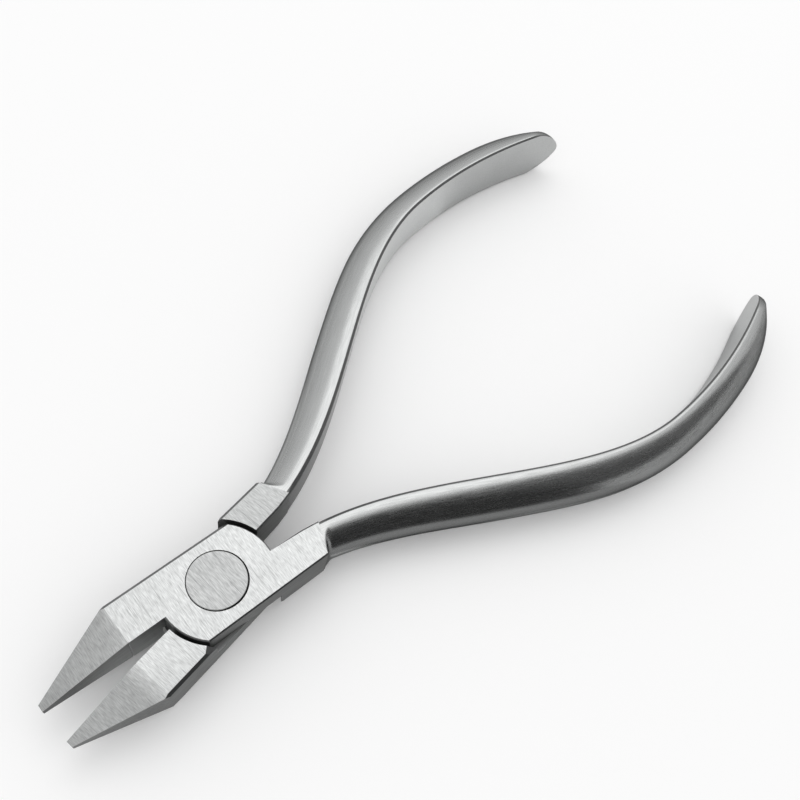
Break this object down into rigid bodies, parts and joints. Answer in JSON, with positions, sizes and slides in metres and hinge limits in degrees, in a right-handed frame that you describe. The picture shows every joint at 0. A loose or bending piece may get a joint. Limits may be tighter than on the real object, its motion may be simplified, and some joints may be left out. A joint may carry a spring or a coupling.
{
  "type": "orthodontic pliers",
  "caption": "Orthodontic pliers with flat smooth tapered beaks, a riveted lap joint and bowed handles, for holding and bending wire.",
  "frame": {"origin": "on the pivot axis, in the plane of the joint's back face", "axes": "+X from the pivot to the beak tips, midway between the beaks; +Z along the pivot axis, out through the rivet's head"},
  "size_m": [0.128, 0.0658, 0.0098],
  "materials": {
    "forged_steel": "satin stainless steel, brushed on the flats",
    "rivet_steel": "brushed stainless steel, ground flush"
  },
  "bodies": {
    "rear": {"rear_half": "forged_steel", "pivot_rivet": "rivet_steel"},
    "front": {"front_half": "forged_steel"}
  },
  "joints": [
    {"name": "pivot", "type": "hinge", "parent": "rear", "child": "front", "pos_m": [0, 0, 0], "axis": [0, 0, 1], "range_deg": [-29.4, 10.6]}
  ]
}
